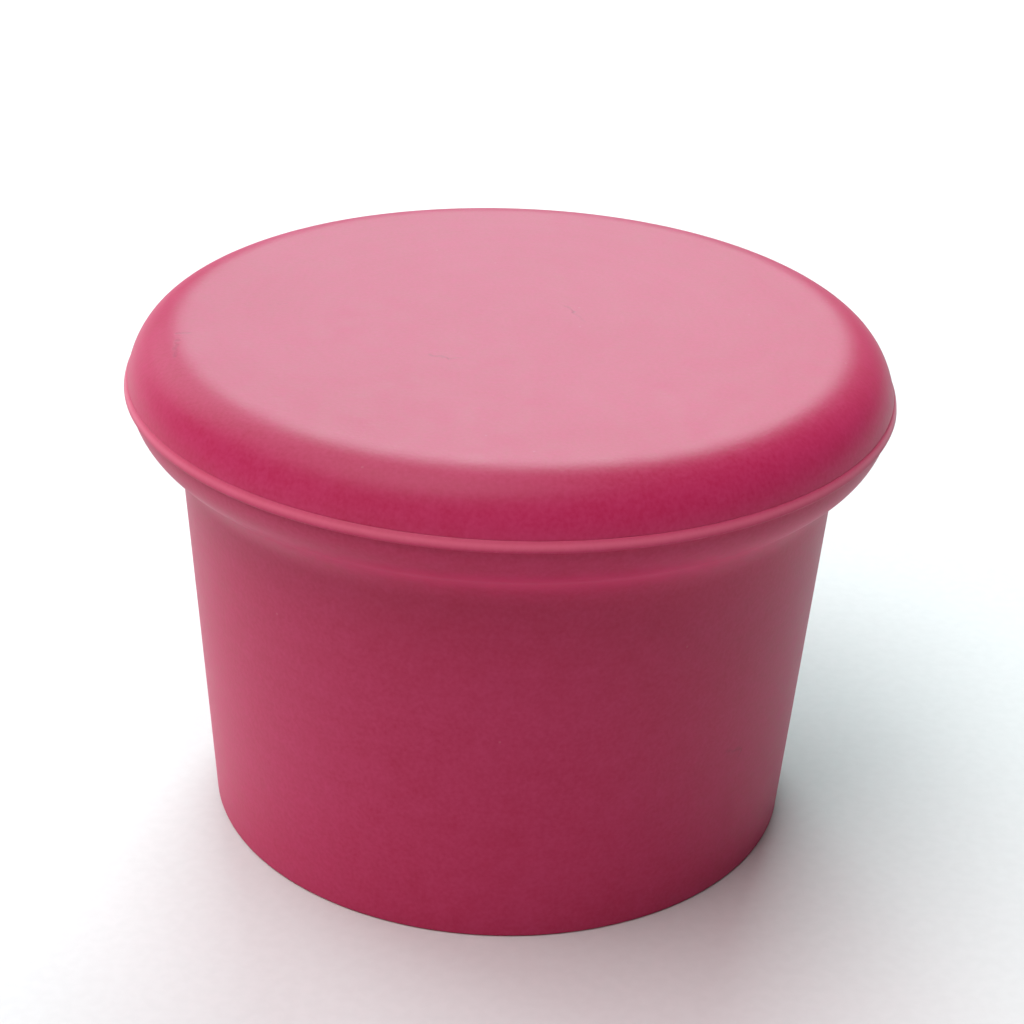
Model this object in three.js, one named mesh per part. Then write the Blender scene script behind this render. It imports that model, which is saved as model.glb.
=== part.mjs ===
// A small lidded dappen dish for nail work: a tapered silicone cup with a rolled rim and a rounded
// well, closed by a silicone lid whose hollow plug presses into the mouth.
// Millimetres, +Z up. The origin is the centre of the foot, on the surface the dish stands on.
import * as THREE from "three";

// Outside of the closed dish.
const RIM_RADIUS = 20.0; // the cup's lip, the widest point of the dish
const CUP_HEIGHT = 24.75; // foot to seam
const BASE_RADIUS = 15.75;
const NECK_RADIUS = 17.25; // where the tapered wall meets the rolled rim
const RIM_DEPTH = 3.3;
const RIM_EXPONENT = 1.85; // superellipse exponents: 2 is an ellipse, more is squarer
const NECK_FILLET = 1.15;
const LID_RISE = 2.63;
const LID_FLAT_RADIUS = 16.5;
const LID_EXPONENT = 2.35;
const LID_DROP = 1.3; // from the dome's foot down to its curve's centre, so the foot is slanted

// The seam. The cup's lip stands out past the lid's edge as a low upright bead.
const SEAM_GAP = 0.05; // between the cup's land and the lid's underside
const LIP_WIDTH = 0.2;
const LIP_RISE = 0.48;
const LIP_EXPONENT = 1.5;
const LIP_UNDER_WIDTH = 0.25;
const LIP_UNDER_RISE = 0.12;
const LID_EDGE = 0.05;

// The inside of the cup, and its foot.
const MOUTH_RADIUS = 14.9;
const MOUTH_DEPTH = 4.9; // the straight part that takes the plug
const MOUTH_EDGE = 0.5;
const WELL_FLOOR = 3.7; // thickness of the base under the middle of the well
const WELL_EXPONENT = 2.3;
const FOOT_RECESS_RADIUS = 12.0;
const FOOT_RECESS_DEPTH = 0.5;
const FOOT_EDGE = 0.15;

// The plug under the lid.
const PLUG_CLEARANCE = 0.25;
const PLUG_DEPTH = 4.3;
const PLUG_WALL = 1.6;
const PLUG_EDGE = 0.5;
const RIB_PROUD = 0.15; // the sealing rib stops 0.1 mm short of the mouth's wall
const RIB_HEIGHT = 1.0;
const LID_PLATE = 2.2; // thickness of the lid inside the plug

const SEGMENTS = 64; // facets round the axis
const LAND_Z = CUP_HEIGHT - SEAM_GAP / 2;
const LID_BASE_Z = CUP_HEIGHT + SEAM_GAP / 2;
const EDGE_RADIUS = RIM_RADIUS - LIP_WIDTH;

// Points [r, z] of an arc that runs anticlockwise when to > from. Angles are in degrees from +r
// towards +z. An exponent other than 2 makes it an arc of a superellipse.
function arc([r, z], [radiusR, radiusZ], [from, to], steps, exponent = 2) {
  const bend = (value) => Math.sign(value) * Math.abs(value) ** (2 / exponent);
  return Array.from({ length: steps + 1 }, (_, i) => {
    const angle = THREE.MathUtils.degToRad(from + ((to - from) * i) / steps);
    return [r + radiusR * bend(Math.cos(angle)), z + radiusZ * bend(Math.sin(angle))];
  });
}

const round = (centre, radius, span, steps = 3) => arc(centre, [radius, radius], span, steps);

// A solid of revolution about Z from a profile that runs anticlockwise in the (r, z) half plane.
function revolve(name, profile, material) {
  const points = profile.map(([r, z]) => new THREE.Vector2(Math.max(r, 0), z));
  const geometry = new THREE.LatheGeometry(points, SEGMENTS);
  geometry.rotateX(Math.PI / 2); // LatheGeometry turns about Y
  const mesh = new THREE.Mesh(geometry, material);
  mesh.name = name;
  return mesh;
}

// The rolled rim from the neck up to the lip. A Bezier curve fillets the corner between the
// tapered wall and the rim: its middle point is where their tangents cross.
function rolledRim() {
  const lipZ = LAND_Z - LIP_RISE;
  const rimRadius = RIM_RADIUS - LIP_UNDER_WIDTH;
  const rimZ = lipZ - LIP_UNDER_RISE;
  const radii = [rimRadius - NECK_RADIUS, rimZ - (CUP_HEIGHT - RIM_DEPTH)];
  const underside = arc([NECK_RADIUS, rimZ], radii, [-90, 0], 12, RIM_EXPONENT)
    .filter(([r]) => r > NECK_RADIUS + NECK_FILLET);
  const [[r0, z0], [r1, z1]] = underside;
  const cornerZ = z0 - ((z1 - z0) / (r1 - r0)) * (r0 - NECK_RADIUS);
  const taper = (NECK_RADIUS - BASE_RADIUS) / cornerZ;
  const fillet = new THREE.QuadraticBezierCurve(
    new THREE.Vector2(NECK_RADIUS - taper * NECK_FILLET, cornerZ - NECK_FILLET),
    new THREE.Vector2(NECK_RADIUS, cornerZ),
    new THREE.Vector2(r0, z0));
  return [
    ...fillet.getPoints(4).map(({ x, y }) => [x, y]),
    ...underside.slice(1),
    ...arc([rimRadius, lipZ], [LIP_UNDER_WIDTH, LIP_UNDER_RISE], [-90, 0], 3).slice(1),
    ...arc([EDGE_RADIUS, lipZ], [LIP_WIDTH, LIP_RISE], [0, 90], 4, LIP_EXPONENT).slice(1),
  ];
}

function cup(material) {
  const wellTop = CUP_HEIGHT - MOUTH_DEPTH;
  return revolve("cup", [
    [0, FOOT_RECESS_DEPTH],
    [FOOT_RECESS_RADIUS, FOOT_RECESS_DEPTH],
    [FOOT_RECESS_RADIUS + FOOT_RECESS_DEPTH, 0],
    ...round([BASE_RADIUS - FOOT_EDGE, FOOT_EDGE], FOOT_EDGE, [-90, 0]),
    ...rolledRim(),
    ...round([MOUTH_RADIUS + MOUTH_EDGE, LAND_Z - MOUTH_EDGE], MOUTH_EDGE, [90, 180]),
    ...arc([0, wellTop], [MOUTH_RADIUS, wellTop - WELL_FLOOR], [0, -90], 12, WELL_EXPONENT),
  ], material);
}

// The plug's profile, from the centre of the lid's ceiling, round the plug's wall and up to the
// lid's underside.
function plug() {
  const bottom = CUP_HEIGHT - PLUG_DEPTH;
  const ceiling = CUP_HEIGHT + LID_RISE - LID_PLATE;
  const outer = MOUTH_RADIUS - PLUG_CLEARANCE;
  const inner = outer - PLUG_WALL;
  return [
    [0, ceiling],
    ...round([inner - PLUG_EDGE, ceiling - PLUG_EDGE], PLUG_EDGE, [90, 0]),
    ...round([inner + PLUG_EDGE, bottom + PLUG_EDGE], PLUG_EDGE, [180, 270]),
    ...round([outer - PLUG_EDGE, bottom + PLUG_EDGE], PLUG_EDGE, [-90, 0]),
    ...arc([outer, CUP_HEIGHT - PLUG_DEPTH / 2], [RIB_PROUD, RIB_HEIGHT / 2], [-90, 90], 4),
    [outer, LID_BASE_Z],
  ];
}

function lid(material) {
  const edgeZ = LID_BASE_Z + LID_EDGE;
  const rise = CUP_HEIGHT + LID_RISE - edgeZ + LID_DROP;
  const footHeight = LID_DROP / rise; // as a share of the curve's height
  const reach = (1 - footHeight ** LID_EXPONENT) ** (1 / LID_EXPONENT);
  const footAngle = THREE.MathUtils.radToDeg(Math.asin(footHeight ** (LID_EXPONENT / 2)));
  const radii = [(EDGE_RADIUS - LID_FLAT_RADIUS) / reach, rise];
  return revolve("lid", [
    ...plug(),
    ...round([EDGE_RADIUS - LID_EDGE, edgeZ], LID_EDGE, [-90, 0], 2),
    ...arc([LID_FLAT_RADIUS, edgeZ - LID_DROP], radii, [footAngle, 90], 12, LID_EXPONENT).slice(1),
    [0, CUP_HEIGHT + LID_RISE],
  ], material);
}

// Both pieces are the same soft, matt pink silicone.
const silicone = { color: 0xb8355f, roughness: 0.55, metalness: 0 };

const dish = new THREE.Group();
dish.add(cup(new THREE.MeshStandardMaterial(silicone)), lid(new THREE.MeshStandardMaterial(silicone)));

export default dish;
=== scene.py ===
"""A small lidded dappen dish in soft pink silicone, on a white studio table."""
import math

import bpy
from mathutils import Matrix, Vector, noise


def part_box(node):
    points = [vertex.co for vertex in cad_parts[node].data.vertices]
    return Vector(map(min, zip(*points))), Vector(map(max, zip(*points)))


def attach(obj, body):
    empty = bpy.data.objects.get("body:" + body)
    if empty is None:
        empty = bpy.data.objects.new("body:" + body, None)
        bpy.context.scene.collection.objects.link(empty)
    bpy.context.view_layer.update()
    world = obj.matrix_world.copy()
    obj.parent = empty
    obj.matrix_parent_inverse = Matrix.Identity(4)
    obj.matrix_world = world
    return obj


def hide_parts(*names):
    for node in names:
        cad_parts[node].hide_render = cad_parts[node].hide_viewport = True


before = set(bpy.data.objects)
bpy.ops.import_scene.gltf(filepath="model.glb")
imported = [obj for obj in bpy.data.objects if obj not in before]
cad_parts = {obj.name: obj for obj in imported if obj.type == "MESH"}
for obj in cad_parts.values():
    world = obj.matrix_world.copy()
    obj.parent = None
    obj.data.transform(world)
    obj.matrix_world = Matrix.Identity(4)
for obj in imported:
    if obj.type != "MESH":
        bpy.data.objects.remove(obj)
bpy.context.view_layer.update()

MM = 0.001

# ---------------------------------------------------------------- sizes
# The frame gives the rim's radii, and the heights of the seam, the top and the plug's end.
CUP_LOW, CUP_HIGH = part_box("cup")
LID_LOW, LID_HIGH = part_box("lid")
RIM_RADIUS = CUP_HIGH.x  # the cup's lip, the widest point
EDGE_RADIUS = LID_HIGH.x
LAND_Z = CUP_HIGH.z
TOP_Z = LID_HIGH.z
PLUG_Z = LID_LOW.z

# Outside.
BASE_RADIUS = 15.75 * MM
NECK_RADIUS = 17.25 * MM
RIM_DEPTH = 3.3 * MM
RIM_EXPONENT = 1.85
NECK_FILLET = 1.15 * MM
LID_FLAT_RADIUS = 16.5 * MM
LID_EXPONENT = 2.35
LID_DROP = 1.3 * MM  # from the dome's foot down to the centre of its curve
SEAM_GAP = 0.05 * MM
LIP_WIDTH = RIM_RADIUS - EDGE_RADIUS
LIP_RISE = 0.48 * MM
LIP_UNDER_WIDTH = 0.25 * MM
LIP_UNDER_RISE = 0.12 * MM
LIP_EXPONENT = 1.5  # below 2, so the lip is nearer a bevel than a round
LID_EDGE = 0.02 * MM
RESTING_GAP = 0.002 * MM  # the lid lies on the cup, closer than the CAD solids may

# Inside and underneath.
MOUTH_RADIUS = 14.9 * MM
MOUTH_DEPTH = 4.9 * MM
MOUTH_EDGE = 0.5 * MM
WELL_FLOOR = 3.7 * MM
WELL_EXPONENT = 2.3
FOOT_RECESS_RADIUS = 12.0 * MM
FOOT_RECESS_DEPTH = 0.5 * MM
FOOT_EDGE = 0.15 * MM
SOFT_EDGE = 0.12 * MM  # break on edges that the CAD leaves sharp
PLUG_RADIUS = 14.65 * MM
PLUG_WALL = 1.6 * MM
PLUG_EDGE = 0.5 * MM
RIB_PROUD = 0.15 * MM
RIB_HEIGHT = 1.0 * MM
LID_PLATE = 2.2 * MM

# How far the soft mouldings fall short of the true shape, and how quickly that varies.
ROUND_SLACK = 0.02 * MM
ROUND_WAVES = 1.4
LIP_SLACK = 0.03 * MM
LIP_WAVES = 7.0
TOP_SLACK = 0.05 * MM
TOP_WAVE_LENGTH = 9 * MM
LID_TOP_DEPTH = 1.0 * MM  # how far below the top its slack dies away

# Mesh density.
SEGMENTS = 320
ROW_STEP = 0.5 * MM
ARC_STEPS = 24
SAME_POINT = 1e-4 * MM


# ---------------------------------------------------------------- profiles
def arc(centre, radii, span, steps=ARC_STEPS, exponent=2.0):
    """Points (r, z) of an arc, or of a superellipse's arc. Angles in degrees from +r to +z."""
    def bend(value):
        return math.copysign(abs(value) ** (2 / exponent), value)

    start, end = span
    angles = [math.radians(start + (end - start) * i / steps) for i in range(steps + 1)]
    return [
        (centre[0] + radii[0] * bend(math.cos(a)), centre[1] + radii[1] * bend(math.sin(a)))
        for a in angles
    ]


def fillet(centre, radius, span, steps=8):
    return arc(centre, (radius, radius), span, steps)


def bezier(a, b, c, steps=10):
    """A quadratic curve from a to c that heads for b."""
    weights = [((1 - t) ** 2, 2 * t * (1 - t), t * t) for t in (i / steps for i in range(steps + 1))]
    return [tuple(u * p + v * q + w * r for p, q, r in zip(a, b, c)) for u, v, w in weights]


def rolled_rim():
    """From the filleted neck, round the rim's underside and the lip, up to the land."""
    lip_z = LAND_Z - LIP_RISE
    rim_radius = RIM_RADIUS - LIP_UNDER_WIDTH
    rim_z = lip_z - LIP_UNDER_RISE
    radii = (rim_radius - NECK_RADIUS, rim_z - (LAND_Z + SEAM_GAP / 2 - RIM_DEPTH))
    underside = arc((NECK_RADIUS, rim_z), radii, (-90, 0), 48, RIM_EXPONENT)
    underside = [p for p in underside if p[0] > NECK_RADIUS + NECK_FILLET]
    (r0, z0), (r1, z1) = underside[:2]
    corner_z = z0 - (z1 - z0) / (r1 - r0) * (r0 - NECK_RADIUS)
    taper = (NECK_RADIUS - BASE_RADIUS) / corner_z
    wall_end = (NECK_RADIUS - taper * NECK_FILLET, corner_z - NECK_FILLET)
    return [
        *bezier(wall_end, (NECK_RADIUS, corner_z), (r0, z0)),
        *underside[1:],
        *arc((rim_radius, lip_z), (LIP_UNDER_WIDTH, LIP_UNDER_RISE), (-90, 0), 8)[1:],
        *arc((EDGE_RADIUS, lip_z), (LIP_WIDTH, LIP_RISE), (0, 90), 12, LIP_EXPONENT)[1:],
    ]


def cup_profile():
    well_top = LAND_Z + SEAM_GAP / 2 - MOUTH_DEPTH
    return [
        (0, FOOT_RECESS_DEPTH),
        *fillet((FOOT_RECESS_RADIUS, FOOT_RECESS_DEPTH - SOFT_EDGE), SOFT_EDGE, (90, 45), 4),
        *fillet((FOOT_RECESS_RADIUS + FOOT_RECESS_DEPTH, SOFT_EDGE), SOFT_EDGE, (225, 270), 4),
        *fillet((BASE_RADIUS - FOOT_EDGE, FOOT_EDGE), FOOT_EDGE, (-90, 0)),
        *rolled_rim(),
        *fillet((MOUTH_RADIUS + MOUTH_EDGE, LAND_Z - MOUTH_EDGE), MOUTH_EDGE, (90, 180)),
        *arc((0, well_top), (MOUTH_RADIUS, well_top - WELL_FLOOR), (0, -90), 60, WELL_EXPONENT),
    ]


def lid_profile():
    lid_base = LAND_Z + RESTING_GAP
    ceiling = TOP_Z - LID_PLATE
    inner = PLUG_RADIUS - PLUG_WALL
    outer = PLUG_RADIUS
    edge_z = lid_base + LID_EDGE
    rise = TOP_Z - edge_z + LID_DROP
    foot_height = LID_DROP / rise  # as a share of the curve's height
    reach = (1 - foot_height ** LID_EXPONENT) ** (1 / LID_EXPONENT)
    foot_angle = math.degrees(math.asin(foot_height ** (LID_EXPONENT / 2)))
    dome = ((EDGE_RADIUS - LID_FLAT_RADIUS) / reach, rise)
    return [
        (0, ceiling),
        *fillet((inner - PLUG_EDGE, ceiling - PLUG_EDGE), PLUG_EDGE, (90, 0)),
        *fillet((inner + PLUG_EDGE, PLUG_Z + PLUG_EDGE), PLUG_EDGE, (180, 270)),
        *fillet((outer - PLUG_EDGE, PLUG_Z + PLUG_EDGE), PLUG_EDGE, (-90, 0)),
        *arc((outer, (PLUG_Z + lid_base) / 2), (RIB_PROUD, RIB_HEIGHT / 2), (-90, 90), 12),
        (outer, lid_base),
        *fillet((EDGE_RADIUS - LID_EDGE, edge_z), LID_EDGE, (-90, 0), 8),
        *arc((LID_FLAT_RADIUS, edge_z - LID_DROP), dome, (foot_angle, 90), 60, LID_EXPONENT)[1:],
        (0, TOP_Z),
    ]


# ---------------------------------------------------------------- meshes
def fill_rows(profile):
    """The profile with its long straight stretches divided, so that every row of faces is short."""
    rows = [profile[0]]
    for end in profile[1:]:
        start = rows[-1]
        length = math.dist(start, end)
        if length < SAME_POINT:
            continue
        count = max(1, math.ceil(length / ROW_STEP))
        rows += [
            (start[0] + (end[0] - start[0]) * i / count, start[1] + (end[1] - start[1]) * i / count)
            for i in range(1, count + 1)
        ]
    return rows


def revolve(name, profile, shape):
    """A closed mesh turned about Z from a profile that starts and ends on the axis.

    shape(r, z, angle) gives the radius and height that a point really has on a soft moulding."""
    rows = fill_rows(profile)
    verts = [Vector((0, 0, rows[0][1]))]
    for r, z in rows[1:-1]:
        for i in range(SEGMENTS):
            angle = 2 * math.pi * i / SEGMENTS
            real_r, real_z = shape(r, z, angle)
            verts.append(Vector((real_r * math.cos(angle), real_r * math.sin(angle), real_z)))
    verts.append(Vector((0, 0, rows[-1][1])))

    def ring(row, i):
        return 1 + row * SEGMENTS + i % SEGMENTS

    last = len(rows) - 3
    faces = [(0, ring(0, i + 1), ring(0, i)) for i in range(SEGMENTS)]
    for row in range(last):
        faces += [
            (ring(row, i), ring(row, i + 1), ring(row + 1, i + 1), ring(row + 1, i))
            for i in range(SEGMENTS)
        ]
    faces += [(ring(last, i), ring(last, i + 1), len(verts) - 1) for i in range(SEGMENTS)]

    mesh = bpy.data.meshes.new(name)
    mesh.from_pydata(verts, [], faces)
    mesh.validate()
    mesh.polygons.foreach_set("use_smooth", [True] * len(mesh.polygons))
    piece = bpy.data.objects.new(name, mesh)
    bpy.context.scene.collection.objects.link(piece)
    return piece


def out_of_true(r, z, angle):
    """A soft moulding is never quite round. It falls short of the true shape, by up to ROUND_SLACK."""
    place = Vector((math.cos(angle), math.sin(angle), z / RIM_RADIUS))
    short = ROUND_SLACK * (0.5 + 0.5 * noise.noise(place * ROUND_WAVES))
    return r - short * min(1, r / BASE_RADIUS), z


def cup_shape(r, z, angle):
    """The thin lip is trimmed a little unevenly."""
    lip = max(0, (r - EDGE_RADIUS) / LIP_WIDTH) if z > LAND_Z - RIM_DEPTH / 2 else 0
    along = Vector((math.cos(angle), math.sin(angle), 0))
    trim = LIP_SLACK * (0.5 + 0.5 * noise.noise(along * LIP_WAVES))
    return out_of_true(r - lip * trim, z, angle)


def lid_shape(r, z, angle):
    """The top dips and swells by a few hundredths of a millimetre."""
    on_top = max(0, 1 - (TOP_Z - z) / LID_TOP_DEPTH)
    place = Vector((r * math.cos(angle), r * math.sin(angle), 0)) / TOP_WAVE_LENGTH
    dip = TOP_SLACK * on_top * (0.5 + 0.5 * noise.noise(place))
    return out_of_true(r, z - dip, angle)


def build_pieces():
    cup = revolve("silicone_cup", cup_profile(), cup_shape)
    lid = revolve("silicone_lid", lid_profile(), lid_shape)
    for piece, body, slot in ((cup, "cup", "cup_silicone"), (lid, "lid", "lid_silicone")):
        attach(piece, body)
        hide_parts(body)
    return cup, lid


# ---------------------------------------------------------------- material nodes
def put(tree, value, socket):
    """Link a node's output into a socket, or set the socket to a plain value."""
    if isinstance(value, bpy.types.NodeSocket):
        tree.links.new(value, socket)
    else:
        socket.default_value = value


def maths(tree, operation, *values):
    node = tree.nodes.new("ShaderNodeMath")
    node.operation = operation
    for value, socket in zip(values, node.inputs):
        put(tree, value, socket)
    return node.outputs["Value"]


def vector_maths(tree, operation, *values):
    node = tree.nodes.new("ShaderNodeVectorMath")
    node.operation = operation
    for value, socket in zip(values, node.inputs):
        put(tree, value, socket)
    return node.outputs["Value" if operation in ("LENGTH", "DOT_PRODUCT", "DISTANCE") else "Vector"]


def ramp(tree, value, span, result=(0.0, 1.0)):
    """The value moved smoothly from span to result, and held at result's ends."""
    node = tree.nodes.new("ShaderNodeMapRange")
    node.interpolation_type = "SMOOTHSTEP"
    for number, socket in zip((value, *span, *result), node.inputs):
        put(tree, number, socket)
    return node.outputs["Result"]


def mix_colour(tree, factor, first, second):
    node = tree.nodes.new("ShaderNodeMix")
    node.data_type = "RGBA"
    put(tree, factor, node.inputs["Factor"])
    colours = [socket for socket in node.inputs if socket.type == "RGBA"]
    put(tree, first, colours[0])
    put(tree, second, colours[1])
    return next(socket for socket in node.outputs if socket.type == "RGBA")


def millimetres(tree):
    """The point on the piece, in its own coordinates."""
    coordinates = tree.nodes.new("ShaderNodeTexCoord")
    return vector_maths(tree, "DIVIDE", coordinates.outputs["Object"], (MM, MM, MM))


def noise_texture(tree, point, per_mm, detail):
    node = tree.nodes.new("ShaderNodeTexNoise")
    put(tree, point, node.inputs["Vector"])
    node.inputs["Scale"].default_value = per_mm
    node.inputs["Detail"].default_value = detail
    return node


def noise_field(tree, point, per_mm, detail):
    return noise_texture(tree, point, per_mm, detail).outputs["Fac"]


def turned_rings(tree, point, per_mm):
    """Fine uneven rings about Z, as a lathe leaves them in a mould."""
    flat = vector_maths(tree, "MULTIPLY", point, (1, 1, 0))
    split = tree.nodes.new("ShaderNodeSeparateXYZ")
    put(tree, point, split.inputs["Vector"])
    section = tree.nodes.new("ShaderNodeCombineXYZ")
    put(tree, vector_maths(tree, "LENGTH", flat), section.inputs["X"])
    put(tree, split.outputs["Z"], section.inputs["Z"])
    drift = vector_maths(tree, "MULTIPLY", point, (0.02, 0.02, 0))
    place = vector_maths(tree, "ADD", section.outputs["Vector"], drift)
    return noise_field(tree, place, per_mm, detail=2)


def specks(tree, point, per_mm, radius, share):
    """Round specks, one in the given share of the cells of a 3-D pattern."""
    node = tree.nodes.new("ShaderNodeTexVoronoi")
    put(tree, point, node.inputs["Vector"])
    node.inputs["Scale"].default_value = per_mm
    size = radius * per_mm
    near = ramp(tree, node.outputs["Distance"], (size * 0.5, size), (1.0, 0.0))
    split = tree.nodes.new("ShaderNodeSeparateColor")
    put(tree, node.outputs["Color"], split.inputs["Color"])
    chosen = maths(tree, "LESS_THAN", split.outputs["Red"], share)
    return maths(tree, "MULTIPLY", near, chosen)


def frayed(tree, point, per_mm, reach):
    """The point moved about by up to about reach / 4, which frays whatever is measured from it."""
    node = noise_texture(tree, point, per_mm, detail=3)
    shift = vector_maths(tree, "SUBTRACT", node.outputs["Color"], (0.5, 0.5, 0.5))
    return vector_maths(tree, "ADD", point, vector_maths(tree, "MULTIPLY", shift, (reach,) * 3))


def strokes(tree, point, lines):
    """Short soft strokes. Each line is (start, end, half width, strength), lengths in millimetres."""
    total = 0.0
    for start, end, half_width, strength in lines:
        start, end = Vector(start), Vector(end)
        run = end - start
        offset = vector_maths(tree, "SUBTRACT", point, tuple(start))
        along = vector_maths(tree, "DOT_PRODUCT", offset, tuple(run / run.length_squared))
        along = maths(tree, "MINIMUM", maths(tree, "MAXIMUM", along, 0.0), 1.0)
        nearest = vector_maths(tree, "MULTIPLY", tuple(run), along)
        miss = vector_maths(tree, "DISTANCE", offset, nearest)
        total = maths(tree, "ADD", total, ramp(tree, miss, (0.0, half_width), (strength, 0.0)))
    return total


def swing(tree, middle, *fields):
    """middle plus each field's swing about 0.5 times its weight. fields are (field, weight)."""
    total = middle
    for field, weight in fields:
        total = maths(tree, "ADD", total, maths(tree, "MULTIPLY_ADD", field, weight, -weight / 2))
    return total


# ---------------------------------------------------------------- materials
PIGMENT_DEEP = (0.545, 0.017, 0.088, 1)
PIGMENT_LIGHT = (0.635, 0.048, 0.166, 1)
DUST_COLOUR = (0.80, 0.42, 0.52, 1)
# The colour of the painted highlight bands on the lip and the neck.
PAINTED_HIGHLIGHT_COLOUR = (0.88, 0.22, 0.33, 1)
GRIME_COLOUR = (0.24, 0.03, 0.06, 1)
PAPER_DARK = (0.74, 0.73, 0.70, 1)
PAPER_LIGHT = (0.76, 0.75, 0.72, 1)

# Scuffs, as strokes: (start, end, half width, strength), lengths in millimetres.
SCUFF_DEPTH = 0.03
TOP = TOP_Z / MM
LID_SCUFFS = (
    ((2.75, 2.3, TOP), (3.15, 1.4, TOP), 0.20, 0.36),
    ((3.15, 1.4, TOP), (3.7, 0.2, TOP), 0.18, 0.14),
    ((-4.1, -5.0, TOP), (-3.1, -5.3, TOP), 0.18, 0.30),
    ((-3.1, -5.3, TOP), (-2.2, -5.2, TOP), 0.16, 0.14),
    ((-12.6, 0.95, TOP), (-11.8, 1.25, TOP), 0.17, 0.24),
    ((-16.9, -3.3, TOP - 0.03), (-16.2, -3.3, TOP), 0.17, 0.28),
    ((-16.8, -4.0, TOP - 0.03), (-16.7, -6.1, TOP - 0.13), 0.17, 0.24),
)

CUP_SCUFFS = (
    ((11.7, -11.5, 8.9), (12.5, -10.6, 8.5), 0.18, 0.28),
    ((12.5, -10.6, 8.5), (12.3, -10.9, 7.9), 0.14, 0.20),
)

# Painted highlights: a pale band along the lip and a fainter one on the neck under the rim, where light
# catches them. The bands are (z, half height, least radius, strength), lengths in millimetres.
CUP_PAINTED_HIGHLIGHT_BANDS = (
    ((LAND_Z - LIP_RISE * 0.45) / MM, 0.34, EDGE_RADIUS / MM - 0.03, 0.62),
    (21.7, 1.0, 15.0, 0.14),
)


def new_material(name):
    material = bpy.data.materials.new(name)
    material.use_nodes = True
    return material, material.node_tree, material.node_tree.nodes["Principled BSDF"]


def add_bump(tree, shader, height):
    """height is in millimetres."""
    bump = tree.nodes.new("ShaderNodeBump")
    bump.inputs["Strength"].default_value = 1.0
    bump.inputs["Distance"].default_value = MM
    put(tree, height, bump.inputs["Height"])
    put(tree, bump.outputs["Normal"], shader.inputs["Normal"])


def level_band(tree, point, z, half_height, least_radius):
    """A soft band round the piece at a height, in millimetres, outside a radius."""
    split = tree.nodes.new("ShaderNodeSeparateXYZ")
    put(tree, point, split.inputs["Vector"])
    away = maths(tree, "ABSOLUTE", maths(tree, "SUBTRACT", split.outputs["Z"], z))
    band = ramp(tree, away, (0.0, half_height), (1.0, 0.0))
    radius = vector_maths(tree, "LENGTH", vector_maths(tree, "MULTIPLY", point, (1, 1, 0)))
    return maths(tree, "MULTIPLY", band, maths(tree, "GREATER_THAN", radius, least_radius))


def silicone(name, scuffs, highlight_bands=()):
    """Matt silicone rubber: cloudy pigment, a fine grain, rings from the mould, dust and scuffs."""
    material, tree, shader = new_material(name)
    point = millimetres(tree)
    clouds = noise_field(tree, point, per_mm=0.12, detail=3)
    mottle = noise_field(tree, point, per_mm=0.9, detail=3)
    grain = noise_field(tree, point, per_mm=4.5, detail=2)
    rings = turned_rings(tree, point, per_mm=2.2)
    dust = specks(tree, point, per_mm=0.9, radius=0.09, share=0.12)
    scuffed = strokes(tree, frayed(tree, point, per_mm=2.2, reach=0.6), scuffs)

    pigment = swing(tree, 0.5, (clouds, 0.45), (mottle, 0.55), (grain, 1.0), (rings, 0.2))
    colour = mix_colour(tree, pigment, PIGMENT_DEEP, PIGMENT_LIGHT)
    colour = mix_colour(tree, maths(tree, "MULTIPLY", dust, 0.12), colour, DUST_COLOUR)
    colour = mix_colour(tree, scuffed, colour, GRIME_COLOUR)
    # Painted highlight: pale bands mixed into the colour where the lip and the neck catch the light.
    for z, half_height, least_radius, strength in highlight_bands:
        band = level_band(tree, point, z, half_height, least_radius)
        colour = mix_colour(tree, maths(tree, "MULTIPLY", band, strength), colour, PAINTED_HIGHLIGHT_COLOUR)
    put(tree, colour, shader.inputs["Base Color"])
    put(tree, swing(tree, 0.45, (mottle, 0.10), (grain, 0.12)), shader.inputs["Roughness"])
    shader.inputs["Diffuse Roughness"].default_value = 1.0
    shader.inputs["IOR"].default_value = 1.45
    shader.inputs["Specular IOR Level"].default_value = 0.3

    height = swing(tree, 0.0, (grain, 0.008), (mottle, 0.004), (rings, 0.003))
    height = maths(tree, "MULTIPLY_ADD", scuffed, -SCUFF_DEPTH, height)
    add_bump(tree, shader, height)
    return material


def paper_floor():
    material, tree, shader = new_material("white_paper")
    point = millimetres(tree)
    fibres = noise_field(tree, point, per_mm=1.5, detail=4)
    tone = ramp(tree, fibres, (0.3, 0.7))
    put(tree, mix_colour(tree, tone, PAPER_DARK, PAPER_LIGHT), shader.inputs["Base Color"])
    shader.inputs["Roughness"].default_value = 0.9
    add_bump(tree, shader, swing(tree, 0.0, (fibres, 0.01)))
    return material


# ---------------------------------------------------------------- studio
CAMERA_LENS = 84.4  # millimetres, as the sensor is
CAMERA_SENSOR = 36
CAMERA_CLIP_START = 5 * MM
# The camera's place, seen from the middle of the seam, and then the way it looks.
CAMERA_ELEVATION = math.radians(23.3)
CAMERA_DISTANCE = 125.5 * MM
CAMERA_DOWN = math.radians(26.55)
CAMERA_RIGHT = math.radians(0.15)
CAMERA_ROLL = math.radians(2.07)

FLOOR_SIZE = 6
AMBIENT_LIGHT = 0.05
LIGHT_DISTANCE = 0.6
NEUTRAL_WHITE = (1.0, 1.0, 1.0)
COOL_WHITE = (0.71, 0.98, 1.0)
WARM_WHITE = (1.0, 0.8, 0.72)
PINK_WHITE = (1.0, 0.88, 1.0)

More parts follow.
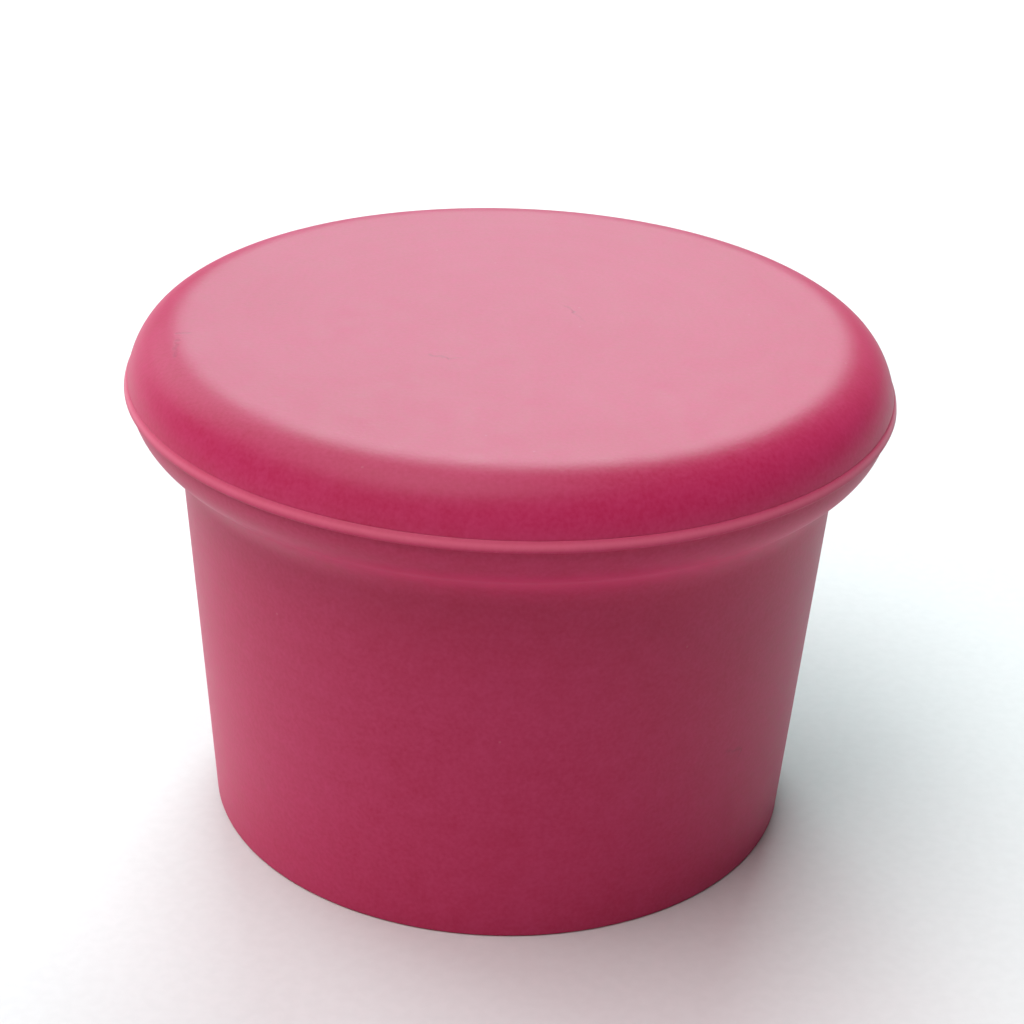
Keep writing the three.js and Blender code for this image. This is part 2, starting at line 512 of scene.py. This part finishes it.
# (name, azimuth, elevation, size, radiance, colour). Azimuth 0 is behind the dish as the camera sees
# it, and 90 is to its right. Angles in degrees, sizes in metres.
SOFTBOXES = (
    ("back_softbox", 0, 38, (0.35, 0.35), 8.35, COOL_WHITE),
    ("overhead_softbox", 240, 64, (0.5, 0.5), 2.15, NEUTRAL_WHITE),
    ("high_softbox", 240, 78, (0.5, 0.5), 2.8, PINK_WHITE),
    ("left_softbox", 315, 36, (0.35, 0.35), 2.7, COOL_WHITE),
    ("left_rim_softbox", 315, 14, (0.3, 0.3), 0.9, COOL_WHITE),
    ("right_rim_softbox", 28, 16, (0.3, 0.3), 0.5, WARM_WHITE),
    ("left_fill_softbox", 222, 8, (0.4, 0.15), 1.35, WARM_WHITE),
    ("front_fill_softbox", 185, 8, (0.4, 0.15), 0.2, WARM_WHITE),
)


def add_camera():
    seam = Vector((0, 0, LAND_Z - LIP_RISE))
    place = seam + CAMERA_DISTANCE * Vector((0, -math.cos(CAMERA_ELEVATION), math.sin(CAMERA_ELEVATION)))
    ahead = Vector((
        math.sin(CAMERA_RIGHT) * math.cos(CAMERA_DOWN),
        math.cos(CAMERA_RIGHT) * math.cos(CAMERA_DOWN),
        -math.sin(CAMERA_DOWN),
    ))
    level = ahead.cross(Vector((0, 0, 1))).normalized()
    right = Matrix.Rotation(-CAMERA_ROLL, 3, ahead) @ level
    up = right.cross(ahead)
    data = bpy.data.cameras.new("camera")
    data.lens = CAMERA_LENS
    data.sensor_width = CAMERA_SENSOR
    data.clip_start = CAMERA_CLIP_START
    camera = bpy.data.objects.new("camera", data)
    rotation = Matrix((right, up, -ahead)).transposed()
    camera.matrix_world = Matrix.Translation(place) @ rotation.to_4x4()
    bpy.context.scene.collection.objects.link(camera)
    bpy.context.scene.camera = camera


def add_softbox(name, azimuth, elevation, size, radiance, colour):
    """A rectangular light that faces the middle of the dish."""
    azimuth, elevation = math.radians(azimuth), math.radians(elevation)
    out = Vector((
        math.sin(azimuth) * math.cos(elevation),
        math.cos(azimuth) * math.cos(elevation),
        math.sin(elevation),
    ))
    data = bpy.data.lights.new(name, "AREA")
    data.shape = "RECTANGLE"
    data.size, data.size_y = size
    data.energy = radiance * math.pi * size[0] * size[1]
    data.color = colour
    light = bpy.data.objects.new(name, data)
    light.location = Vector((0, 0, TOP_Z / 2)) + out * LIGHT_DISTANCE
    light.rotation_euler = out.to_track_quat("Z", "Y").to_euler()
    light.visible_camera = False
    bpy.context.scene.collection.objects.link(light)


def add_studio():
    bpy.ops.mesh.primitive_plane_add(size=FLOOR_SIZE, location=(0, 0, 0))
    floor = bpy.context.object
    floor.name = "table"
    floor.data.materials.append(paper_floor())
    world = bpy.data.worlds.new("studio")
    world.use_nodes = True
    background = world.node_tree.nodes["Background"]
    background.inputs["Color"].default_value = (*NEUTRAL_WHITE, 1)
    background.inputs["Strength"].default_value = AMBIENT_LIGHT
    bpy.context.scene.world = world
    for settings in SOFTBOXES:
        add_softbox(*settings)
    bpy.context.scene.view_settings.view_transform = "Standard"


add_camera()
cup, lid = build_pieces()
cup.data.materials.append(silicone("cup_silicone", CUP_SCUFFS, CUP_PAINTED_HIGHLIGHT_BANDS))
lid.data.materials.append(silicone("lid_silicone", LID_SCUFFS))
add_studio()
